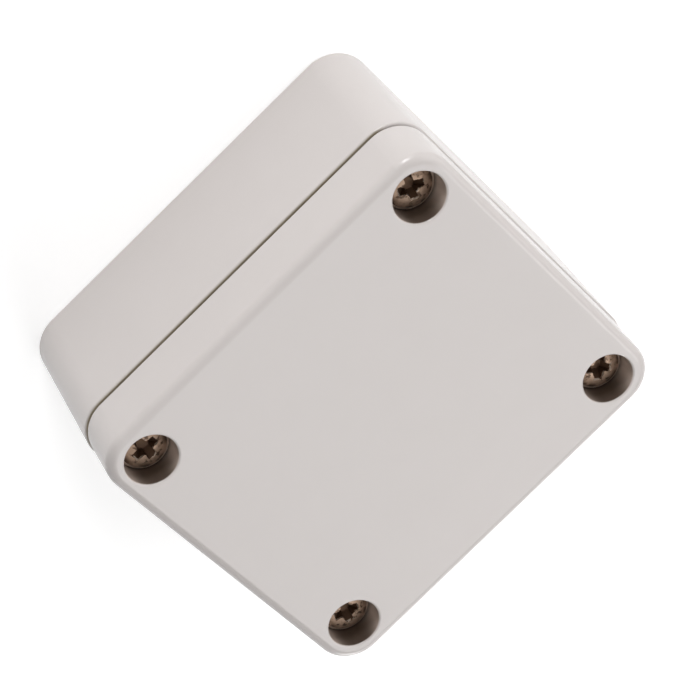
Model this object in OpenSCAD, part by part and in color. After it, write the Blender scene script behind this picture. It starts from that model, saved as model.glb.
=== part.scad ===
// Small sealed junction box: a moulded base, a screwed-down lid, its gasket and the lid fasteners.
// Millimetres. The origin is the middle of the back face, +X is the long side, +Z points to the lid.

/* [Box] */
// Outside length of the base along X
box_w = 64; // [60:0.5:80]
// Outside width of the base along Y
box_d = 58; // [54:0.5:72]
// Overall height of base and lid together
box_h = 35; // [33:0.5:48]
// Height of the parting plane between base and lid
base_h = 25.1; // [22:0.1:27]
// Radius of the upright outside corners
corner_r = 5.9; // [4:0.1:7]
// Thickness of the base walls
wall = 2.6; // [2.3:0.1:3]
// Thickness of the base floor
floor_t = 2.6; // [2:0.1:4]
// Radius of the edge around the back face
base_edge_r = 0.5; // [0.2:0.1:1]
// Radius of the outside edge of the base rim
base_rim_r = 0.4; // [0.1:0.05:0.6]
// Radius of the upright corners inside the base
cavity_r = 2.4; // [1.8:0.1:2.6]

/* [Lid] */
// Step from the base wall in to the lid wall
lid_inset = 0.25; // [0.1:0.05:0.4]
// Thickness of the lid face
lid_top_t = 2.4; // [1.8:0.1:3]
// Radius of the edge around the lid face
lid_edge_r = 1.4; // [0.6:0.1:2]
// Radius of the outside edge of the lid rim
lid_rim_r = 0.15; // [0.05:0.05:0.4]
// Draft of the lid walls in degrees
lid_draft = 0.5; // [0:0.1:1]
// Open gap that shows between the lid rim and the base rim
parting_gap = 0.4; // [0.2:0.05:0.6]
// Lid thickness under each screw seat
seat_t = 5.2; // [4:0.1:6]
// Thickness of the lid rib inside the gasket channel
rib_t = 1.2; // [1:0.1:1.5]

/* [Seal] */
// Thickness of the base tongue that presses the gasket
tongue_t = 1; // [0.8:0.05:1.1]
// Side clearance of the tongue in the lid channel
tongue_clear = 0.25; // [0.15:0.05:0.3]
// Depth of the lid channel above the lid rim
channel_h = 3; // [2.4:0.1:3.6]
// Height of the seated gasket
gasket_h = 1.5; // [1:0.1:1.8]
// Side clearance of the gasket in its channel
gasket_clear = 0.05; // [0.02:0.01:0.1]
// Clearance left between the tongue and the gasket
gasket_gap = 0.05; // [0.02:0.01:0.1]

/* [Screws] */
// Distance of each screw axis from the base walls
screw_inset = 6.4; // [6:0.1:7]
// Diameter of the screw wells in the lid
well_d = 7.8; // [7.6:0.1:8.4]
// Wall left between a well and the gasket channel
well_wall = 1; // [0.8:0.1:1.4]
// Radius of the rim of each well
well_rim_r = 0.3; // [0.1:0.05:0.5]
// Outside diameter of the screw thread
thread_d = 3.5; // [3:0.1:3.8]
// Play of the thread in its insert and washer, on the radius
thread_clear = 0.05; // [0.02:0.01:0.1]
// Play of the thread in the lid, on the radius
shank_clear = 0.4; // [0.2:0.05:0.5]
// Length of thread held in the insert
thread_grip = 6.5; // [5:0.5:8]
// Length of the cone at the screw tip
tip_cone = 0.5; // [0.2:0.1:1]
// Diameter of the screw head
head_d = 6.6; // [6:0.1:7]
// Height of the low screw head
head_h = 1; // [0.95:0.05:1.4]
// Radius of the dome on the screw head
head_dome_r = 9; // [8:0.5:16]
// Radius of the edge of the screw head
head_edge_r = 0.15; // [0.1:0.05:0.2]
// Width over the cross recess at the top of the head
recess_d = 4.4; // [3.6:0.1:4.8]
// Width of each wing of the cross recess
recess_w = 1.4; // [0.8:0.05:1.5]
// Depth of the cross recess
recess_depth = 1.7; // [1.2:0.1:2]
// Diameter of the recess at its bottom
recess_floor_d = 1.7; // [1.4:0.1:2.2]
// Outside diameter of the washer under each head
washer_d = 7.5; // [7:0.1:7.5]
// Thickness of the washer
washer_t = 0.6; // [0.5:0.1:1]

/* [Inserts] */
// Outside diameter of the thread inserts
insert_d = 5.2; // [4.8:0.1:6]
// Length of the thread inserts
insert_l = 8; // [6:0.5:10]
// Play of an insert in its pillar, on the radius
insert_clear = 0.02; // [0.01:0.01:0.05]
// Width of the waist around an insert
waist_w = 1.4; // [0.8:0.1:2]
// Depth of the waist around an insert
waist_depth = 0.35; // [0.2:0.05:0.5]
// Lead-in chamfer at both mouths of an insert
insert_lead = 0.4; // [0.2:0.1:0.5]
// Free depth in the pillar below the insert
tip_room = 3; // [1:0.5:5]

/* [Floor fixings] */
// Distance between the two wall-fixing holes
fix_spacing = 46; // [40:0.5:47]
// Diameter of the wall-fixing holes
fix_d = 4.4; // [3.6:0.1:5]
// Diameter of the raised collar around each wall-fixing hole
collar_d = 9; // [8:0.1:10]
// Height of the raised collars
collar_h = 1.2; // [0.6:0.1:2]
// Circuit-board boss spacing along X
board_x = 30; // [24:0.5:31]
// Circuit-board boss spacing along Y
board_y = 40; // [34:0.5:42]
// Diameter of the circuit-board bosses
boss_d = 5.6; // [5:0.1:6.4]
// Height of the circuit-board bosses
boss_h = 4; // [2:0.1:6]
// Diameter of the pilot holes in the bosses
pilot_d = 2.4; // [2:0.1:2.8]
// Depth of the pilot holes
pilot_depth = 5; // [3:0.1:5.4]
// Diameter of the moulding gate dimple in the back
gate_d = 4; // [3:0.1:6]
// Depth of the moulding gate dimple
gate_depth = 0.4; // [0.2:0.1:0.8]
// Diameter of the gate stub left in the dimple
stub_d = 1.4; // [1:0.1:2]
// Height of the gate stub above the floor of the dimple
stub_h = 0.15; // [0.05:0.05:0.2]

/* [Hidden] */
$fn = 64;

shell_colour = "#d2ccc7";
screw_colour = "#b7a58f";
washer_colour = "#c9c0b2";
insert_colour = "#c8a24e";
gasket_colour = "#2c2c2e";

// Overshoot of cutting solids past the faces they open
cut = 1;

// Signs of the four corners, and how far each screw was turned home
corners = [[-1, -1], [1, -1], [1, 1], [-1, 1]];
screw_turn = [66, 86, 67, 45];

base_rim_z = base_h - parting_gap / 2;
lid_rim_z = base_h + parting_gap / 2;
lid_w = box_w - 2 * lid_inset;
lid_d = box_d - 2 * lid_inset;
lid_corner_r = corner_r - lid_inset;
lid_skirt_h = box_h - lid_rim_z;

screw_x = box_w / 2 - screw_inset;
screw_y = box_d / 2 - screw_inset;
well_r = well_d / 2;
seat_z = base_h + seat_t;
head_z = seat_z + washer_t;
tip_z = base_h - thread_grip;
insert_z = base_h - insert_l;

// Steps across the seal, measured inwards from the base cavity wall
channel_out = -tongue_t - tongue_clear;
channel_in = tongue_clear;
lid_cavity_in = channel_in + rib_t;
boss_wall_r = well_r + well_wall;
pillar_r = boss_wall_r - channel_out;
channel_top_z = lid_rim_z + channel_h;
tongue_top_z = channel_top_z - gasket_h - gasket_gap;

// Repeats a shape made in the +X +Y quarter in all four quarters
module each_corner() {
    for (mx = [0, 1], my = [0, 1])
        mirror([mx, 0, 0])
            mirror([0, my, 0])
                children();
}

// Half section of a moulded wall: a rounded rim at its foot and a rounded edge at its top
module wall_section(reach, height, rim_r, edge_r, draft) {
    straight = height - edge_r;
    rim_centre = reach - rim_r * tan(draft) - rim_r / cos(draft);
    edge_centre = reach - straight * tan(draft) - edge_r / cos(draft);
    polygon([
        [0, 0],
        [rim_centre, 0],
        [rim_centre + rim_r * cos(draft), rim_r + rim_r * sin(draft)],
        [edge_centre + edge_r * cos(draft), straight + edge_r * sin(draft)],
        [edge_centre, height],
        [0, height]
    ]);
    translate([rim_centre, rim_r])
        circle(rim_r);
    translate([edge_centre, straight])
        circle(edge_r);
}

// Block with round upright corners, a rounded rim and a rounded edge around its top face
module moulded_block(w, d, height, r, rim_r, edge_r, draft) {
    run_x = w / 2 - r;
    run_y = d / 2 - r;
    translate([-run_x, -run_y, 0])
        cube([2 * run_x, 2 * run_y, height]);
    each_corner()
        translate([run_x, run_y, 0])
            rotate_extrude(angle = 90)
                wall_section(r, height, rim_r, edge_r, draft);
    for (my = [0, 1])
        mirror([0, my, 0])
            translate([-run_x, run_y, 0])
                rotate([90, 0, 90])
                    linear_extrude(2 * run_x)
                        wall_section(r, height, rim_r, edge_r, draft);
    for (mx = [0, 1])
        mirror([mx, 0, 0])
            translate([run_x, run_y, 0])
                rotate([90, 0, 0])
                    linear_extrude(2 * run_y)
                        wall_section(r, height, rim_r, edge_r, draft);
}

// Filler of a square inside corner, drawn from the corner towards +X +Y
module corner_fillet(r) {
    difference() {
        square(r);
        translate([r, r])
            circle(r);
    }
}

// Corner block around one screw pillar, out to the walls
module pillar_block(inwards) {
    r = pillar_r + inwards;
    reach_x = box_w / 2 - wall - inwards;
    reach_y = box_d / 2 - wall - inwards;
    fillet_r = cavity_r - inwards;
    translate([screw_x, screw_y])
        circle(r);
    translate([screw_x, screw_y - r])
        square([reach_x - screw_x, reach_y - screw_y + r]);
    translate([screw_x - r, screw_y])
        square([reach_x - screw_x + r, reach_y - screw_y]);
    translate([reach_x, screw_y - r])
        rotate(180)
            corner_fillet(fillet_r);
    translate([screw_x - r, reach_y])
        rotate(180)
            corner_fillet(fillet_r);
}

// Plan of the space inside the walls and pillars, moved inwards by a step
module inside_plan(inwards) {
    difference() {
        square([box_w - 2 * (wall + inwards), box_d - 2 * (wall + inwards)], center = true);
        each_corner()
            pillar_block(inwards);
    }
}

// Band that follows the seal around the box, between two steps
module seal_band(outer, inner) {
    difference() {
        inside_plan(outer);
        inside_plan(inner);
    }
}

// Places a shape on every screw axis
module on_screw_axes() {
    for (c = corners)
        translate([c[0] * screw_x, c[1] * screw_y, 0])
            children();
}

// Places a shape on every circuit-board boss
module on_board_bosses() {
    for (c = corners)
        translate([c[0] * board_x / 2, c[1] * board_y / 2, 0])
            children();
}

// Places a shape on both wall-fixing holes
module on_fixings() {
    for (side = [-1, 1])
        translate([side * fix_spacing / 2, 0, 0])
            children();
}

// Pocket for one insert, with free depth for the screw tip below it
module insert_pocket() {
    translate([0, 0, insert_z])
        cylinder(r = insert_d / 2 + insert_clear, h = insert_l + cut);
    translate([0, 0, insert_z - tip_room])
        cylinder(r = thread_d / 2 + shank_clear, h = tip_room + cut);
}

module base_body() {
    translate([0, 0, base_rim_z])
        mirror([0, 0, 1])
            moulded_block(box_w, box_d, base_rim_z, corner_r, base_rim_r, base_edge_r, 0);
    translate([0, 0, floor_t])
        linear_extrude(tongue_top_z - floor_t)
            seal_band(-tongue_t, 0);
    on_screw_axes()
        cylinder(r = boss_wall_r, h = base_h);
}

module floor_posts() {
    on_board_bosses()
        cylinder(d = boss_d, h = floor_t + boss_h);
    on_fixings()
        cylinder(d = collar_d, h = floor_t + collar_h);
}

module floor_holes() {
    on_board_bosses()
        translate([0, 0, floor_t + boss_h - pilot_depth])
            cylinder(d = pilot_d, h = pilot_depth + cut);
    on_fixings()
        translate([0, 0, -cut])
            cylinder(d = fix_d, h = floor_t + collar_h + 2 * cut);
    difference() {
        translate([0, 0, -cut])
            cylinder(d = gate_d, h = gate_depth + cut);
        translate([0, 0, gate_depth - stub_h])
            cylinder(d = stub_d, h = stub_h);
    }
}

module base_shell() {
    color(shell_colour)
        difference() {
            union() {
                difference() {
                    base_body();
                    translate([0, 0, floor_t])
                        linear_extrude(box_h)
                            inside_plan(0);
                }
                floor_posts();
            }
            floor_holes();
            on_screw_axes()
                insert_pocket();
        }
}

// Stepped hole of one screw: the well, its rounded rim and the hole under the seat
module screw_well() {
    translate([0, 0, seat_z])
        cylinder(r = well_r, h = box_h - seat_z + cut);
    translate([0, 0, box_h - well_rim_r])
        rotate_extrude()
            difference() {
                square([well_r + well_rim_r, well_rim_r]);
                translate([well_r + well_rim_r, 0])
                    circle(well_rim_r);
            }
    translate([0, 0, base_h - cut])
        cylinder(r = thread_d / 2 + shank_clear, h = seat_t + 2 * cut);
}

module lid_shell() {
    color(shell_colour)
        difference() {
            union() {
                translate([0, 0, lid_rim_z])
                    moulded_block(lid_w, lid_d, lid_skirt_h, lid_corner_r, lid_rim_r, lid_edge_r, lid_draft);
                on_screw_axes()
                    translate([0, 0, base_h])
                        cylinder(r = boss_wall_r, h = seat_t);
            }
            translate([0, 0, base_h - cut])
                linear_extrude(box_h - lid_top_t - base_h + cut)
                    inside_plan(lid_cavity_in);
            translate([0, 0, base_h - cut])
                linear_extrude(channel_top_z - base_h + cut)
                    seal_band(channel_out, channel_in);
            on_screw_axes()
                screw_well();
        }
}

module lid_gasket() {
    color(gasket_colour)
        translate([0, 0, channel_top_z - gasket_h])
            linear_extrude(gasket_h)
                seal_band(channel_out + gasket_clear, channel_in - gasket_clear);
}

// Puts one fastener on its own screw axis
module at_corner(i) {
    translate([corners[i][0] * screw_x, corners[i][1] * screw_y, 0])
        children();
}

// Section of the domed head above its washer face
module head_section() {
    skirt_h = head_h - head_dome_r + sqrt(pow(head_dome_r, 2) - pow(head_d / 2, 2));
    intersection() {
        translate([0, head_h - head_dome_r])
            circle(head_dome_r);
        square([head_d / 2, head_h]);
        union() {
            square([head_d / 2, skirt_h - head_edge_r]);
            square([head_d / 2 - head_edge_r, head_h]);
            translate([head_d / 2 - head_edge_r, skirt_h - head_edge_r])
                circle(head_edge_r);
        }
    }
}

// Cross recess, tapering from the top of the head to its floor
module cross_recess() {
    intersection() {
        union() {
            for (a = [0, 90])
                rotate(a)
                    translate([-recess_d, -recess_w / 2, 0])
                        cube([2 * recess_d, recess_w, recess_depth]);
            cylinder(d = recess_floor_d, h = recess_depth);
        }
        cylinder(d1 = recess_floor_d, d2 = recess_d, h = recess_depth);
    }
}

module lid_screw(i) {
    color(screw_colour)
        at_corner(i)
            rotate(screw_turn[i])
                difference() {
                    union() {
                        translate([0, 0, head_z])
                            rotate_extrude()
                                head_section();
                        translate([0, 0, tip_z + tip_cone])
                            cylinder(d = thread_d, h = head_z - tip_z - tip_cone);
                        translate([0, 0, tip_z])
                            cylinder(d1 = thread_d - 2 * tip_cone, d2 = thread_d, h = tip_cone);
                    }
                    translate([0, 0, head_z + head_h - recess_depth])
                        cross_recess();
                }
}

module screw_washer(i) {
    color(washer_colour)
        at_corner(i)
            translate([0, 0, seat_z])
                difference() {
                    cylinder(d = washer_d, h = washer_t);
                    translate([0, 0, -cut])
                        cylinder(r = thread_d / 2 + thread_clear, h = washer_t + 2 * cut);
                }
}

// Section of one insert: two gripping bands with a waist between them
module insert_section() {
    bore_r = thread_d / 2 + thread_clear;
    rim_r = insert_d / 2;
    waist_r = rim_r - waist_depth;
    waist_low = (insert_l - waist_w) / 2;
    waist_high = (insert_l + waist_w) / 2;
    polygon([
        [bore_r, insert_lead],
        [bore_r + insert_lead, 0],
        [rim_r, 0],
        [rim_r, waist_low],
        [waist_r, waist_low + waist_depth],
        [waist_r, waist_high - waist_depth],
        [rim_r, waist_high],
        [rim_r, insert_l],
        [bore_r + insert_lead, insert_l],
        [bore_r, insert_l - insert_lead]
    ]);
}

module thread_insert(i) {
    color(insert_colour)
        at_corner(i)
            translate([0, 0, insert_z])
                rotate_extrude()
                    insert_section();
}

base_shell();
lid_shell();
lid_gasket();
lid_screw(0);  // lid_screw_1
lid_screw(1);  // lid_screw_2
lid_screw(2);  // lid_screw_3
lid_screw(3);  // lid_screw_4
screw_washer(0);  // screw_washer_1
screw_washer(1);  // screw_washer_2
screw_washer(2);  // screw_washer_3
screw_washer(3);  // screw_washer_4
thread_insert(0);  // thread_insert_1
thread_insert(1);  // thread_insert_2
thread_insert(2);  // thread_insert_3
thread_insert(3);  // thread_insert_4
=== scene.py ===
import math
import bmesh
import bpy
from mathutils import Matrix, Vector
from mathutils.noise import seed_set, turbulence_vector


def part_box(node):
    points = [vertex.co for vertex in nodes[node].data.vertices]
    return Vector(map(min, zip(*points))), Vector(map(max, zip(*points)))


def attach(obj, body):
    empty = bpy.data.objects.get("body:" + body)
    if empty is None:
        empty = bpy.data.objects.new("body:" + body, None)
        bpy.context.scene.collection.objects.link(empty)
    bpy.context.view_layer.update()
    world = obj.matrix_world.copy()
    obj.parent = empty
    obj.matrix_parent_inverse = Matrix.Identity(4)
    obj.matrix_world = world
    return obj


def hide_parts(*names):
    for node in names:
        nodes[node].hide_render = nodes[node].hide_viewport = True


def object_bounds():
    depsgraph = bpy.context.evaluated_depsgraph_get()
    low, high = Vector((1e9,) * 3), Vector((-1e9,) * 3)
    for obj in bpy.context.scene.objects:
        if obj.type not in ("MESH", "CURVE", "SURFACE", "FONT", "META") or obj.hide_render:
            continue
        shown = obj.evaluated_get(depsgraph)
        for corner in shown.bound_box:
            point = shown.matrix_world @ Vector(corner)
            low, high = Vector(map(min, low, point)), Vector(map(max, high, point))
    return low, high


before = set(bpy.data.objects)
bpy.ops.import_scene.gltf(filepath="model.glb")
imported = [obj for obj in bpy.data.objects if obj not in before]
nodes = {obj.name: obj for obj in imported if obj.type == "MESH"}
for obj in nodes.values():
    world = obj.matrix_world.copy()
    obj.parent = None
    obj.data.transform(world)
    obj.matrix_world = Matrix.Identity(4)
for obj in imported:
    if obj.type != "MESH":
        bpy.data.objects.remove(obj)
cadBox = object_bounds()
scene = bpy.context.scene
mm = 0.001  # sizes below are written in millimetres
samePoint = 1e-7  # metres within which two points are one
heightPlay = 1e-6  # metres of play when edges are picked by height
corners = (1, 2, 3, 4)

# Places that the frame gives
axisOf = {n: (sum(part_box(f"lid_screw_{n}"), Vector()) / 2).to_2d().to_3d() for n in corners}
screwAxis = axisOf[3]  # the axes mirror about the middle, and this is the one at +X +Y
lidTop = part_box("lid_shell")[1].z
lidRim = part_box("lid_shell")[0].z
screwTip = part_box("lid_screw_1")[0].z
washerLow, washerHigh = (p.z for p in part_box("screw_washer_1"))
insertLow, insertHigh = (p.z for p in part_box("thread_insert_1"))


def setOrLink(tree, socket, value):
    if isinstance(value, bpy.types.NodeSocket):
        tree.links.new(value, socket)
    else:
        socket.default_value = value


def addNode(tree, kind, values=None, **settings):
    node = tree.nodes.new("ShaderNode" + kind)
    for key, value in settings.items():
        setattr(node, key, value)
    for key, value in (values or {}).items():
        setOrLink(tree, node.inputs[key], value)
    return node


def startMaterial(name, **sockets):
    material = bpy.data.materials.new(name)
    material.use_nodes = True
    shader = material.node_tree.nodes["Principled BSDF"]
    for key, value in sockets.items():
        shader.inputs[key].default_value = value
    return material, material.node_tree, shader


def finishMaterial(tree, shader, tone, rough, skin):
    for key, value in (("Base Color", tone), ("Roughness", rough), ("Normal", skin)):
        setOrLink(tree, shader.inputs[key], value)


def objectPoint(tree):
    return addNode(tree, "TexCoord").outputs["Object"]


def coordinate(tree, point, axis):
    return addNode(tree, "SeparateXYZ", {0: point}).outputs[axis]


def aboutScrew(tree, point):
    # the point seen from the nearest screw axis, and its distance from that axis
    folded = addNode(tree, "VectorMath", {0: point}, operation="ABSOLUTE").outputs[0]
    local = addNode(tree, "VectorMath", {0: folded, 1: screwAxis}, operation="SUBTRACT").outputs[0]
    flat = addNode(tree, "VectorMath", {0: local, 1: (1, 1, 0)}, operation="MULTIPLY").outputs[0]
    radius = addNode(tree, "VectorMath", {0: flat}, operation="LENGTH").outputs["Value"]
    return flat, radius


def insideWalls(tree, point, cornerRadius):
    # distance in from the outline of the base, which is a rectangle with rounded corners
    core = (cadBox[1].x - cornerRadius, cadBox[1].y - cornerRadius, 0)
    folded = addNode(tree, "VectorMath", {0: point}, operation="ABSOLUTE").outputs[0]
    past = addNode(tree, "VectorMath", {0: folded, 1: core}, operation="SUBTRACT").outputs[0]
    past = addNode(tree, "VectorMath", {0: past, 1: (0, 0, 0)}, operation="MAXIMUM").outputs[0]
    past = addNode(tree, "VectorMath", {0: past, 1: (1, 1, 0)}, operation="MULTIPLY").outputs[0]
    reach = addNode(tree, "VectorMath", {0: past}, operation="LENGTH").outputs["Value"]
    return addNode(tree, "Math", {0: cornerRadius, 1: reach}, operation="SUBTRACT").outputs[0]


def fade(tree, value, start, end):
    # 0 at start and 1 at end, smooth between
    node = addNode(tree, "MapRange", {"Value": value, "From Min": start, "From Max": end})
    node.interpolation_type = "SMOOTHSTEP"
    return node.outputs["Result"]


def fadeBelow(tree, value, level, depths):
    # a fade between two depths below a level
    return fade(tree, value, *(level - depth for depth in depths))


def spread(tree, value, low, high):
    node = addNode(tree, "MapRange", {"Value": value, "To Min": low, "To Max": high})
    return node.outputs["Result"]


def times(tree, first, *others):
    for other in others:
        first = addNode(tree, "Math", {0: first, 1: other}, operation="MULTIPLY").outputs[0]
    return first


def mixColour(tree, factor, first, second):
    node = addNode(tree, "Mix", data_type="RGBA")  # its colours are sockets 6 and 7, and its result is 2
    for socket, value in zip((node.inputs[0], node.inputs[6], node.inputs[7]), (factor, first, second)):
        setOrLink(tree, socket, value)
    return node.outputs[2]


def noise(tree, point, grain, detail):
    # grain is the size of one blotch
    node = addNode(tree, "TexNoise", {"Vector": point, "Scale": 1 / grain, "Detail": detail})
    return node.outputs["Fac"]


def latheRings(tree, flat, pitch, wander):
    rings = addNode(tree, "TexWave", {"Vector": flat, "Scale": 1 / pitch, "Distortion": wander},
                    wave_type="RINGS", rings_direction="SPHERICAL")
    return rings.outputs["Fac"]


def bump(tree, height, distance, strength, under=None):
    node = addNode(tree, "Bump", {"Height": height, "Distance": distance, "Strength": strength})
    if under:
        tree.links.new(under, node.inputs["Normal"])
    return node.outputs["Normal"]


# In the finishes a noise has its grain and detail, and a relief its height and strength
greyPlastic = {
    "pale": (0.658, 0.612, 0.594, 1),
    "warm": (0.64, 0.596, 0.576, 1),
    "blotch": (9 * mm, 3),
    "gloss": (0.2, 0.27),
    "glossPatch": (3 * mm, 3),
    "ripple": (14 * mm, 1),
    "rippleRelief": (0.05 * mm, 0.25),
    "grain": (0.11 * mm, 2),
    "grainRelief": (0.004 * mm, 0.3),
    "wellEdge": (4.1 * mm, 3.95 * mm),  # radii where the painted shade of a well begins and where it covers
    "wellFloor": (0.6 * mm, 0.2 * mm),  # depths below the washer
    # painted shade on the well walls, darker just under the rim than deeper down, and painted light on the
    # side that faces away from shadedSide
    "wellShadeUpper": (0.085, 0.062, 0.049, 1),
    "wellShadeDeep": (0.135, 0.093, 0.068, 1),
    "wellPaintedLight": (0.63, 0.53, 0.465, 1),
    "shadedSide": (-0.467, -0.884, 0),  # the wall that looks this way gets the darkest painted shade
    "shadedTurn": (1.0, 0.36),  # cosines where the painted shade is darkest and where painted light takes over
    "shadeOnset": (0.06 * mm, 0.24 * mm),  # depths below the lid face
    "deepShadeOnset": (1.5 * mm, 4.2 * mm),
    "cornerRadius": 5.9 * mm,
    # painted shade in the parting gap between lid and base
    "seamShade": (0.33, 0.28, 0.205, 1),
    "seamBelow": (0.62 * mm, 0.36 * mm),  # depths below the lid's rim
    "seamAbove": (-0.1 * mm, 0.0),  # negative, as it starts above the rim
    "seamDepth": (1.4 * mm, 1.0 * mm),  # distances in from the base walls
    "seamLip": (0.02 * mm, 0.32 * mm),
    "seamShadeStop": (-29 * mm, -27 * mm),  # the -X end gets no painted shade
}


def mouldedPlastic():
    look = greyPlastic
    material, tree, shader = startMaterial("warm_grey_moulded_plastic", IOR=1.5)
    point = objectPoint(tree)
    height = coordinate(tree, point, "Z")
    radius = aboutScrew(tree, point)[1]
    tone = mixColour(tree, noise(tree, point, *look["blotch"]), look["pale"], look["warm"])
    # painted shade on the walls of the wells, lightened by painted light on the side away from shadedSide
    inWell = times(
        tree,
        fade(tree, radius, *look["wellEdge"]),
        fadeBelow(tree, height, washerLow, look["wellFloor"]),
        fadeBelow(tree, height, lidTop, look["shadeOnset"]),
    )
    facing = addNode(tree, "NewGeometry").outputs["Normal"]
    turned = addNode(tree, "VectorMath", {0: facing, 1: look["shadedSide"]}, operation="DOT_PRODUCT")
    paintedLitSide = fade(tree, turned.outputs["Value"], *look["shadedTurn"])
    shadeDepth = fadeBelow(tree, height, lidTop, look["deepShadeOnset"])
    wall = mixColour(tree, shadeDepth, look["wellShadeUpper"], look["wellShadeDeep"])
    wall = mixColour(tree, paintedLitSide, wall, look["wellPaintedLight"])
    tone = mixColour(tree, inWell, tone, wall)
    inward = insideWalls(tree, point, look["cornerRadius"])
    # painted shade along the parting gap, fading out at the outer face of the walls and deeper in, and
    # left off at the -X end
    inSeam = times(
        tree,
        fade(tree, inward, *look["seamDepth"]),
        fade(tree, inward, *look["seamLip"]),
        fadeBelow(tree, height, lidRim, look["seamBelow"]),
        fadeBelow(tree, height, lidRim, look["seamAbove"]),
        fade(tree, coordinate(tree, point, "X"), *look["seamShadeStop"]),
    )
    tone = mixColour(tree, inSeam, tone, look["seamShade"])
    gloss = spread(tree, noise(tree, point, *look["glossPatch"]), *look["gloss"])
    ripple = bump(tree, noise(tree, point, *look["ripple"]), *look["rippleRelief"])
    skin = bump(tree, noise(tree, point, *look["grain"]), *look["grainRelief"], ripple)
    finishMaterial(tree, shader, tone, gloss, skin)
    return material


screwFinish = {
    "bright": (0.62, 0.45, 0.335, 1),
    "tarnish": (0.36, 0.25, 0.18, 1),
    "tarnishGrain": (0.9 * mm, 4),
    # dark brown for grime on the head, also used as painted shade round its rim
    "grimeAndShade": (0.13, 0.085, 0.058, 1),
    "grimeGrain": (0.75 * mm, 5),
    "grimeAmount": (0.5, 0.36),  # noise levels where grime begins and where it covers
    "edgeGrimeAndShade": (2.3 * mm, 3.2 * mm),  # radii where the grime and the painted shade at the rim of the head begin and where they cover
    "edgeGrain": (1.3 * mm, 3),
    "edgeAmount": (0.62, 0.4),
    "headUnder": (0.1 * mm, 0.0),  # depths below the underside of the head
    # painted shade, the dark brown inside the cross recess
    "recess": (0.125, 0.073, 0.044, 1),
    "recessEdge": (2.75 * mm, 2.6 * mm),
    "recessOnset": (0.05 * mm, 0.13 * mm),  # depths below the dome of the head
    "shankClean": (0.3 * mm, 0.15 * mm),  # depths below the washer
    "torn": (0.97, 0.88, 0.77, 1),  # bare metal on the torn edges of the recess
    "tornTop": (0.03 * mm, 0.07 * mm),  # depths below the dome
    "tornLow": (0.34 * mm, 0.24 * mm),
    "tornGrain": (0.6 * mm, 2),
    "tornAmount": (0.42, 0.52),
    "tornGloss": 0.4,  # its roughness as a share of the rest
    "roughness": (0.42, 0.62),
    "roughGrain": (0.35 * mm, 3),
    "rings": (1.2 * mm, 1.2),  # pitch and wander of the marks that the lathe left
    "ringRelief": (0.006 * mm, 0.3),
    "pits": (0.12 * mm, 3),
    "pitRelief": (0.01 * mm, 0.35),
}


def platedSteel():
    look = screwFinish
    material, tree, shader = startMaterial("plated_screw_steel", Metallic=0.7)
    point = objectPoint(tree)
    flat, radius = aboutScrew(tree, point)
    height = coordinate(tree, point, "Z")
    dip = times(tree, radius, radius, 0.5 / lidScrew["domeRadius"])  # how far the dome has fallen
    level = addNode(tree, "Math", {0: height, 1: dip}, operation="ADD").outputs[0]
    headTop = washerHigh + lidScrew["headHeight"]
    tone = mixColour(tree, noise(tree, point, *look["tarnishGrain"]), look["bright"], look["tarnish"])
    inMiddle = times(
        tree,
        fade(tree, radius, *look["recessEdge"]),
        fadeBelow(tree, height, washerLow, look["shankClean"]),
    )
    grimeAndShade = fade(tree, noise(tree, point, *look["grimeGrain"]), *look["grimeAmount"])
    tone = mixColour(tree, times(tree, inMiddle, grimeAndShade), tone, look["grimeAndShade"])
    # grime mixed with painted shade round the rim of the head, just above the washer
    rimGrimeAndShade = times(
        tree,
        fadeBelow(tree, height, washerHigh, look["headUnder"]),
        fade(tree, radius, *look["edgeGrimeAndShade"]),
        fade(tree, noise(tree, point, *look["edgeGrain"]), *look["edgeAmount"]),
    )
    tone = mixColour(tree, rimGrimeAndShade, tone, look["grimeAndShade"])
    # painted shade: the recess is coloured dark brown below the dome
    inRecess = times(tree, inMiddle, fadeBelow(tree, level, headTop, look["recessOnset"]))
    tone = mixColour(tree, inRecess, tone, look["recess"])
    torn = times(
        tree,
        inMiddle,
        fade(tree, noise(tree, point, *look["tornGrain"]), *look["tornAmount"]),
        fadeBelow(tree, level, headTop, look["tornTop"]),
        fadeBelow(tree, level, headTop, look["tornLow"]),
    )
    tone = mixColour(tree, torn, tone, look["torn"])
    rough = spread(tree, noise(tree, point, *look["roughGrain"]), *look["roughness"])
    rough = times(tree, rough, spread(tree, torn, 1, look["tornGloss"]))
    turned = bump(tree, latheRings(tree, flat, *look["rings"]), *look["ringRelief"])
    pitted = bump(tree, noise(tree, point, *look["pits"]), *look["pitRelief"], turned)
    finishMaterial(tree, shader, tone, rough, pitted)
    return material


washerFinish = {
    "bright": (0.82, 0.7, 0.6, 1),
    "dull": (0.42, 0.31, 0.235, 1),
    "dullGrain": (0.6 * mm, 4),
    # painted shade, a dark line on the washer round the head
    "grimeAndShade": (0.035, 0.024, 0.018, 1),
    "headShadeRing": (3.46 * mm, 3.36 * mm),  # radii where the painted shade round the head begins and where it covers
    "roughness": (0.45, 0.6),
    "roughGrain": (0.3 * mm, 3),
    "pits": (0.15 * mm, 2),
    "pitRelief": (0.006 * mm, 0.3),
}


def washerSteel():
    look = washerFinish
    material, tree, shader = startMaterial("plated_washer_steel", Metallic=0.5)
    point = objectPoint(tree)
    radius = aboutScrew(tree, point)[1]
    tone = mixColour(tree, noise(tree, point, *look["dullGrain"]), look["bright"], look["dull"])
    # painted shade round the rim of the head
    tone = mixColour(tree, fade(tree, radius, *look["headShadeRing"]), tone, look["grimeAndShade"])
    rough = spread(tree, noise(tree, point, *look["roughGrain"]), *look["roughness"])
    pitted = bump(tree, noise(tree, point, *look["pits"]), *look["pitRelief"])
    finishMaterial(tree, shader, tone, rough, pitted)
    return material


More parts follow.
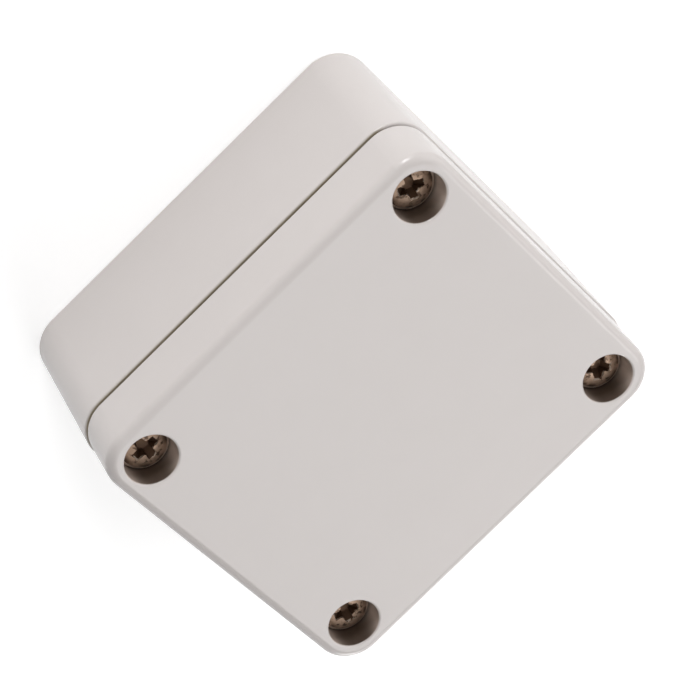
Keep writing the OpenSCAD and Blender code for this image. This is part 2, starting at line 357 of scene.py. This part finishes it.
brassFinish = {
    "bright": (0.79, 0.60, 0.29, 1),
    "aged": (0.58, 0.41, 0.19, 1),
    "agedGrain": (1.1 * mm, 4),
    "roughness": (0.2, 0.38),
    "roughGrain": (0.4 * mm, 3),
    "rings": (0.9 * mm, 0.6),
    "ringRelief": (0.008 * mm, 0.35),
}


def turnedBrass():
    look = brassFinish
    material, tree, shader = startMaterial("turned_insert_brass", Metallic=1.0)
    point = objectPoint(tree)
    flat = aboutScrew(tree, point)[0]
    tone = mixColour(tree, noise(tree, point, *look["agedGrain"]), look["bright"], look["aged"])
    rough = spread(tree, noise(tree, point, *look["roughGrain"]), *look["roughness"])
    turned = bump(tree, latheRings(tree, flat, *look["rings"]), *look["ringRelief"])
    finishMaterial(tree, shader, tone, rough, turned)
    return material


rubberFinish = {
    "dark": (0.022, 0.022, 0.024, 1),
    "bloom": (0.055, 0.054, 0.055, 1),
    "bloomGrain": (2.2 * mm, 5),
    "roughness": (0.55, 0.75),
    "roughGrain": (1.5 * mm, 3),
    "skin": (0.09 * mm, 3),
    "skinRelief": (0.02 * mm, 0.4),
}


def sealRubber():
    look = rubberFinish
    material, tree, shader = startMaterial("moulded_seal_rubber", IOR=1.5)
    point = objectPoint(tree)
    tone = mixColour(tree, noise(tree, point, *look["bloomGrain"]), look["dark"], look["bloom"])
    rough = spread(tree, noise(tree, point, *look["roughGrain"]), *look["roughness"])
    skin = bump(tree, noise(tree, point, *look["skin"]), *look["skinRelief"])
    finishMaterial(tree, shader, tone, rough, skin)
    return material


def dressNode(name, material):
    # a CAD node keeps its mesh and takes a finish
    nodes[name].data.materials.clear()
    nodes[name].data.materials.append(material)


plastic = mouldedPlastic()
for name in ("base_shell", "lid_shell"):
    dressNode(name, plastic)
print("finishes done")


def spunOutline(points, steps, closed=False, roundSteps=4):
    # points are (radius, height) along the outline, with a rounding as third where a corner has one
    bm = bmesh.new()
    verts = [bm.verts.new((p[0], 0, p[1])) for p in points]
    for pair in zip(verts, verts[1:] + verts[:1] * closed):
        bm.edges.new(pair)
    for vert, p in zip(verts, points):
        if len(p) == 3:
            bmesh.ops.bevel(bm, geom=[vert], offset=p[2], affect="VERTICES",
                            segments=roundSteps, profile=0.5, material=-1)
    bmesh.ops.spin(bm, geom=bm.verts[:] + bm.edges[:], cent=(0, 0, 0), axis=(0, 0, 1),
                   angle=math.tau, steps=steps, use_merge=True)
    bmesh.ops.remove_doubles(bm, verts=bm.verts, dist=samePoint)
    bmesh.ops.recalc_face_normals(bm, faces=bm.faces)
    return bm


def addThread(bm, plan, root, crest, low, high, steps=24):
    # sweeps one pitch of the thread round and up, trims it flat at both heights and adds it to bm
    pitch = plan["threadPitch"]
    crestStart, crestEnd, rootStart = (share * pitch for share in plan["threadForm"])
    section = [(root, 0), (crest, crestStart), (crest, crestEnd), (root, rootStart), (root, pitch)]
    turns = math.ceil((high - low) / pitch) + 2  # one more at each end, which the trim takes off
    thread = bmesh.new()
    line = [thread.verts.new((radius, 0, low - pitch + height)) for radius, height in section]
    edges = [thread.edges.new(pair) for pair in zip(line, line[1:])]
    bmesh.ops.spin(thread, geom=line + edges, cent=(0, 0, 0), axis=(0, 0, 1),
                   dvec=(0, 0, pitch / steps), angle=math.tau * turns, steps=steps * turns)
    bmesh.ops.remove_doubles(thread, verts=thread.verts, dist=samePoint)
    for height, way in ((low, -1), (high, 1)):
        whole = thread.verts[:] + thread.edges[:] + thread.faces[:]
        bmesh.ops.bisect_plane(thread, geom=whole, plane_co=(0, 0, height), plane_no=(0, 0, way),
                               clear_outer=True)
    carrier = bpy.data.meshes.new("thread_turns")
    thread.to_mesh(carrier)
    thread.free()
    bm.from_mesh(carrier)
    bpy.data.meshes.remove(carrier)


def openEdges(bm, low, high):
    low, high = low - heightPlay, high + heightPlay
    return [e for e in bm.edges if e.is_boundary and all(low <= v.co.z <= high for v in e.verts)]


def finishMesh(name, bm, crease=35):
    mesh = bpy.data.meshes.new(name)
    bm.to_mesh(mesh)
    bm.free()
    mesh.shade_smooth()
    mesh.set_sharp_from_angle(angle=math.radians(crease))
    return mesh


def onScrewAxis(name, bm, number, degrees=0):
    # a shape made about the Z axis, turned and set on one screw axis
    turn = Matrix.Rotation(math.radians(degrees), 3, "Z")
    bmesh.ops.rotate(bm, verts=bm.verts, cent=(0, 0, 0), matrix=turn)
    bmesh.ops.translate(bm, verts=bm.verts, vec=axisOf[number])
    return finishMesh(name, bm)


def addPiece(name, mesh, material, body, node):
    piece = bpy.data.objects.new(name, mesh)
    scene.collection.objects.link(piece)
    mesh.materials.clear()
    mesh.materials.append(material)
    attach(piece, body)
    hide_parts(node)


lidScrew = {
    "headRadius": 3.3 * mm,
    "headHeight": 1.0 * mm,
    "domeRadius": 9.0 * mm,
    "domeSteps": 10,
    "facets": 72,
    "rimRound": 0.15 * mm,
    "skirtRound": 0.1 * mm,
    "shankRadius": 1.75 * mm,
    "plainShank": 4.2 * mm,
    "threadPitch": 0.6 * mm,
    "threadForm": (0.36, 0.52, 0.88),  # shares of the pitch: crest begins, crest ends, root begins
    "threadRoot": 1.4 * mm,
    "threadCrest": 1.71 * mm,
    "runOut": 0.3 * mm,
    "tipChamfer": 0.5 * mm,
    "tipRadius": 1.25 * mm,
    "recessDepth": 1.7 * mm,
    "recessTop": (2.2 * mm, 0.71 * mm),  # reach and half width of the wings
    "recessFloor": (0.85 * mm, 0.5 * mm),
    "recessThroat": 0.42 * mm,
    "throatSteps": 5,
    "recessOver": 0.2 * mm,  # how far the cutter stands above the head
    "recessWear": 0.3 * mm,  # how far screwdrivers have torn its edges
    "wearGrain": 0.6 * mm,
    "wearCuts": 4,  # cuts in each edge of the cutter, which give the tears their fineness
    "wearDetail": 2,
    "turns": (66, 86, 67, 45),  # degrees that each one was driven round
}


def screwBlank():
    plan = lidScrew
    headLow = washerHigh
    threadHigh = headLow - plan["plainShank"]
    threadEnd = threadHigh - plan["runOut"]
    dome = plan["domeRadius"]
    domeMiddle = headLow + plan["headHeight"] - dome
    rimTurn = math.asin(plan["headRadius"] / dome)
    outline = []
    for step in range(plan["domeSteps"]):
        turn = rimTurn * step / plan["domeSteps"]
        outline.append((dome * math.sin(turn), domeMiddle + dome * math.cos(turn)))
    outline += [
        (plan["headRadius"], domeMiddle + dome * math.cos(rimTurn), plan["rimRound"]),
        (plan["headRadius"], headLow, plan["skirtRound"]),
        (plan["shankRadius"], headLow),
        (plan["shankRadius"], threadHigh),
    ]
    bm = spunOutline(outline, plan["facets"])
    addThread(bm, plan, plan["threadRoot"], plan["threadCrest"], screwTip, threadEnd)
    bmesh.ops.bridge_loops(bm, edges=openEdges(bm, threadEnd, threadHigh))
    for vert in bm.verts:  # the tip is turned to a short cone
        room = plan["tipRadius"] + (vert.co.z - screwTip)
        if vert.co.z < screwTip + plan["tipChamfer"] and vert.co.xy.length > room:
            vert.co.xy *= room / vert.co.xy.length
    bmesh.ops.contextual_create(bm, geom=openEdges(bm, screwTip, screwTip))
    bmesh.ops.recalc_face_normals(bm, faces=bm.faces)
    return bm


def crossLoop(bm, size, height):
    # outline of the cross recess: two wing corners and one throat corner in each quarter
    reach, half = size
    quarterLine = ((reach, -half), (reach, half), (half, half))
    verts = []
    for quarter in range(4):
        spin = Matrix.Rotation(math.pi / 2 * quarter, 3, "Z")
        verts += [bm.verts.new(spin @ Vector((x, y, height))) for x, y in quarterLine]
    return verts, [bm.edges.new(pair) for pair in zip(verts, verts[1:] + verts[:1])]


def recessCutter(number):
    # each screw has its own worn edges, which run out towards the floor of the recess
    plan = lidScrew
    depth, over = plan["recessDepth"], plan["recessOver"]
    headTop = washerHigh + plan["headHeight"]
    grow = over / depth
    opening = [top + (top - floor) * grow for top, floor in zip(plan["recessTop"], plan["recessFloor"])]
    bm = bmesh.new()
    topVerts, topEdges = crossLoop(bm, opening, headTop + over)
    lowVerts, lowEdges = crossLoop(bm, plan["recessFloor"], headTop - depth)
    bmesh.ops.bridge_loops(bm, edges=topEdges + lowEdges)
    bm.faces.new(topVerts)
    bm.faces.new(lowVerts)
    bmesh.ops.recalc_face_normals(bm, faces=bm.faces)
    throats = []
    for top, low in zip(topVerts[2::3], lowVerts[2::3]):
        throats += [e for e in top.link_edges if low in e.verts]
    bmesh.ops.bevel(bm, geom=throats, offset=plan["recessThroat"], affect="EDGES",
                    segments=plan["throatSteps"], profile=0.5, material=-1)
    bmesh.ops.subdivide_edges(bm, edges=bm.edges, cuts=plan["wearCuts"], use_grid_fill=True)
    seed_set(number)
    for vert in bm.verts:
        rise = max(vert.co.z - headTop + depth, 0) / depth
        tear = turbulence_vector(vert.co / plan["wearGrain"], plan["wearDetail"], False)
        vert.co.xy += tear.xy * plan["recessWear"] * rise ** 2
    return bm


def cutRecess(blank, number):
    work = bpy.data.objects.new("screw_blank", finishMesh("screw_blank", blank))
    tool = bpy.data.objects.new("recess_cutter", finishMesh("recess_cutter", recessCutter(number)))
    for obj in (work, tool):
        scene.collection.objects.link(obj)
    cut = work.modifiers.new("recess", "BOOLEAN")
    cut.operation = "DIFFERENCE"
    cut.solver = "EXACT"
    cut.object = tool
    bm = bmesh.new()
    bm.from_object(work, bpy.context.evaluated_depsgraph_get())
    for obj in (work, tool):
        mesh = obj.data
        bpy.data.objects.remove(obj)
        bpy.data.meshes.remove(mesh)
    return bm


screwMetal = platedSteel()
for number, degrees in zip(corners, lidScrew["turns"]):
    name = f"cross_recess_screw_{number}"
    mesh = onScrewAxis(name, cutRecess(screwBlank(), number), number, degrees)
    addPiece(name, mesh, screwMetal, f"screw_{number}", f"lid_screw_{number}")
    print("screw", number, "done:", len(mesh.polygons), "faces")

flatWasher = {
    "bore": 1.8 * mm,
    "radius": 3.75 * mm,
    "topRound": 0.2 * mm,
    "lowRound": 0.1 * mm,
    "boreRound": 0.1 * mm,
    "facets": 72,
}


def washerRing():
    plan = flatWasher
    return spunOutline([
        (plan["bore"], washerLow, plan["boreRound"]),
        (plan["radius"], washerLow, plan["lowRound"]),
        (plan["radius"], washerHigh, plan["topRound"]),
        (plan["bore"], washerHigh, plan["boreRound"]),
    ], plan["facets"], closed=True)


washerMetal = washerSteel()
for number in corners:
    name = f"captive_washer_{number}"
    mesh = onScrewAxis(name, washerRing(), number)
    addPiece(name, mesh, washerMetal, f"washer_{number}", f"screw_washer_{number}")
print("washers done:", len(mesh.polygons), "faces each")

brassInsert = {
    "radius": 2.6 * mm,
    "bore": 1.8 * mm,
    "lead": 0.4 * mm,
    "waistWidth": 1.4 * mm,
    "waistDepth": 0.35 * mm,
    "rimRound": 0.12 * mm,
    "threadGroove": 0.26 * mm,
    "threadPitch": 0.6 * mm,
    "threadForm": (0.4, 0.48, 0.88),  # shares of the pitch: groove floor begins, it ends, bore begins
    "knurls": 48,
    "knurlDepth": 0.13 * mm,
    "knurlPlay": 0.01 * mm,  # what lies this near the full radius is knurled
}


def knurledInsert():
    plan = brassInsert
    rim, mouth = plan["radius"], plan["bore"] + plan["lead"]
    neck, columns = rim - plan["waistDepth"], 2 * plan["knurls"]
    middle = (insertLow + insertHigh) / 2
    waistLow, waistHigh = middle - plan["waistWidth"] / 2, middle + plan["waistWidth"] / 2
    bm = spunOutline([
        (mouth, insertLow),
        (rim, insertLow, plan["rimRound"]),
        (rim, waistLow),
        (neck, waistLow + plan["waistDepth"]),
        (neck, waistHigh - plan["waistDepth"]),
        (rim, waistHigh),
        (rim, insertHigh, plan["rimRound"]),
        (mouth, insertHigh),
    ], columns)
    for vert in bm.verts:  # every second column of the bands drops into a knurl groove
        column = round(math.atan2(vert.co.y, vert.co.x) / math.tau * columns)
        if column % 2 and vert.co.xy.length > rim - plan["knurlPlay"]:
            vert.co.xy *= 1 - plan["knurlDepth"] / rim
    threadLow, threadHigh = insertLow + plan["lead"], insertHigh - plan["lead"]
    addThread(bm, plan, plan["bore"], plan["bore"] + plan["threadGroove"], threadLow, threadHigh)
    for low, high in ((insertLow, threadLow), (threadHigh, insertHigh)):
        bmesh.ops.bridge_loops(bm, edges=openEdges(bm, low, high))
    bmesh.ops.recalc_face_normals(bm, faces=bm.faces)
    return bm


brass = turnedBrass()
for number in corners:
    name = f"knurled_insert_{number}"
    mesh = onScrewAxis(name, knurledInsert(), number)
    addPiece(name, mesh, brass, "base", f"thread_insert_{number}")
print("inserts done:", len(mesh.polygons), "faces each")

sealCord = {
    "weld": 0.001 * mm,
    "flatAngle": 1.0,  # degrees
    "sharpAngle": 60,
    "edgeRound": 0.3 * mm,
    "roundSteps": 3,
}


def sealBand():
    # the seal keeps the run of its solid and gets soft edges
    plan = sealCord
    bm = bmesh.new()
    bm.from_mesh(nodes["lid_gasket"].data)
    bmesh.ops.remove_doubles(bm, verts=bm.verts, dist=plan["weld"])
    flatTurn, sharpTurn = math.radians(plan["flatAngle"]), math.radians(plan["sharpAngle"])
    bmesh.ops.dissolve_limit(bm, angle_limit=flatTurn, verts=bm.verts, edges=bm.edges)
    sharp = [e for e in bm.edges if e.is_manifold and e.calc_face_angle() > sharpTurn]
    bmesh.ops.bevel(bm, geom=sharp, offset=plan["edgeRound"], affect="EDGES",
                    segments=plan["roundSteps"], profile=0.5, material=-1)
    return bm


sealMesh = finishMesh("seal_band", sealBand())
addPiece("seal_band", sealMesh, sealRubber(), "lid", "lid_gasket")
print("seal done:", len(sealMesh.polygons), "faces")

studioFloor = {
    "flat": 2.4,  # metres
    "sweep": 1.2,
    "top": 2.0,
    "facets": 64,
    "crease": 60,  # degrees
    "colour": 0.8,
    "glow": (0.5, 1.0),  # its own light near the box, where lamps reach, and far off
    "glowRise": (0.15, 0.5),  # metres from the box where that light starts and ends its rise
}


def makeFloor():
    plan = studioFloor
    edge = plan["flat"] + plan["sweep"]
    bm = spunOutline([(0, 0), (edge, 0, plan["sweep"]), (edge, plan["top"])], plan["facets"])
    bmesh.ops.reverse_faces(bm, faces=bm.faces)
    floor = bpy.data.objects.new("studio_floor", finishMesh("studio_floor", bm, plan["crease"]))
    scene.collection.objects.link(floor)
    return floor


def floorPaint():
    plan = studioFloor
    material = bpy.data.materials.new("white_floor")
    material.use_nodes = True
    tree = material.node_tree
    tree.nodes.clear()
    path = addNode(tree, "LightPath").outputs
    seen = path["Is Camera Ray"]
    for ray in ("Is Glossy Ray", "Is Transmission Ray"):
        seen = addNode(tree, "Math", {0: seen, 1: path[ray]}, operation="MAXIMUM").outputs[0]
    away = addNode(tree, "VectorMath", {0: objectPoint(tree)}, operation="LENGTH").outputs["Value"]
    level = spread(tree, fade(tree, away, *plan["glowRise"]), *plan["glow"])
    paint = addNode(tree, "BsdfDiffuse", {"Color": (plan["colour"],) * 3 + (1,)})
    light = addNode(tree, "Emission", {"Strength": times(tree, seen, level)})
    both = addNode(tree, "AddShader", {0: paint.outputs[0], 1: light.outputs[0]})
    addNode(tree, "OutputMaterial", {"Surface": both.outputs[0]})
    return material


makeFloor().data.materials.append(floorPaint())

worldLevel = 0.1
studioLamps = [
    {"name": "back_softbox", "azimuth": 80, "elevation": 55, "size": 0.3, "watts": 0.62},
    {"name": "overhead_softbox", "azimuth": 40, "elevation": 75, "size": 0.3, "watts": 0.2},
    {"name": "left_softbox", "azimuth": 306, "elevation": 62, "size": 0.3, "watts": 0.24},
    {"name": "edge_softbox", "azimuth": 118, "elevation": 49, "size": 0.2, "watts": 0.48},
    {"name": "side_softbox", "azimuth": 165, "elevation": 30, "size": 0.6, "watts": 1.1},
    {"name": "back_low", "azimuth": 60, "elevation": 12, "size": 0.2, "watts": 0.5},
    {"name": "front_low", "azimuth": 242, "elevation": 12, "size": 0.2, "watts": 1.43},
]
lampReach = 0.55  # metres from the box to each lamp
lampAim = Vector((0, 0, 20 * mm))
lampFoot = 10 * mm  # room kept under a lamp
floorWashes = [  # discs that face down and brighten the floor beside the box
    {"name": "front_wash", "above": (0, -0.27), "watts": 0.19},
    {"name": "back_wash", "above": (0, 0.27), "watts": 0.1},
]
washHeight, washSize = 0.13, 0.3  # metres


def compass(azimuth, elevation):
    flat = math.cos(math.radians(elevation))
    return Vector((
        flat * math.cos(math.radians(azimuth)),
        flat * math.sin(math.radians(azimuth)),
        math.sin(math.radians(elevation)),
    ))


def hangLamp(name, place, aim, size, watts):
    lamp = bpy.data.lights.new(name, "AREA")
    lamp.shape = "DISK"
    lamp.size = size
    lamp.energy = watts
    holder = bpy.data.objects.new(name, lamp)
    holder.location = place
    holder.rotation_euler = (place - aim).to_track_quat("Z", "Y").to_euler()
    holder.visible_camera = False
    scene.collection.objects.link(holder)


for plan in studioLamps:
    place = lampAim + compass(plan["azimuth"], plan["elevation"]) * lampReach
    place.z = max(place.z, plan["size"] / 2 + lampFoot)  # low lamps stand on the floor
    hangLamp(plan["name"], place, lampAim, plan["size"], plan["watts"])
for plan in floorWashes:
    spot = Vector((*plan["above"], 0))
    hangLamp(plan["name"], spot + Vector((0, 0, washHeight)), spot, washSize, plan["watts"])
world = bpy.data.worlds.new("dim_room")
world.use_nodes = True
world.node_tree.nodes["Background"].inputs["Color"].default_value = (1, 1, 1, 1)
world.node_tree.nodes["Background"].inputs["Strength"].default_value = worldLevel
scene.world = world
scene.view_settings.view_transform = "Standard"

cameraView = {
    "target": Vector((-1.72, -0.397, 17.5)) * mm,
    "distance": 428.03 * mm,
    "heading": -99.82,  # degrees, from the box to the lens
    "elevation": 54.502,
    "roll": -143.755,
    "lens": 152.13,  # Blender takes the lens and the sensor in millimetres
    "sensor": 36.0,
    "clipStart": 10 * mm,
}


def makeCamera():
    plan = cameraView
    out = compass(plan["heading"], plan["elevation"])
    level = (-out).cross(Vector((0, 0, 1))).normalized()
    roll = math.radians(plan["roll"])
    up = level.cross(-out) * math.cos(roll) + level * math.sin(roll)
    pose = Matrix((up.cross(out), up, out)).transposed().to_4x4()
    pose.translation = plan["target"] + out * plan["distance"]
    camera = bpy.data.cameras.new("photo_camera")
    camera.lens = plan["lens"]
    camera.sensor_width = plan["sensor"]
    camera.clip_start = plan["clipStart"]
    holder = bpy.data.objects.new("photo_camera", camera)
    holder.matrix_world = pose
    scene.collection.objects.link(holder)
    scene.camera = holder


makeCamera()
print("studio done:", len(studioLamps + floorWashes), "lamps")
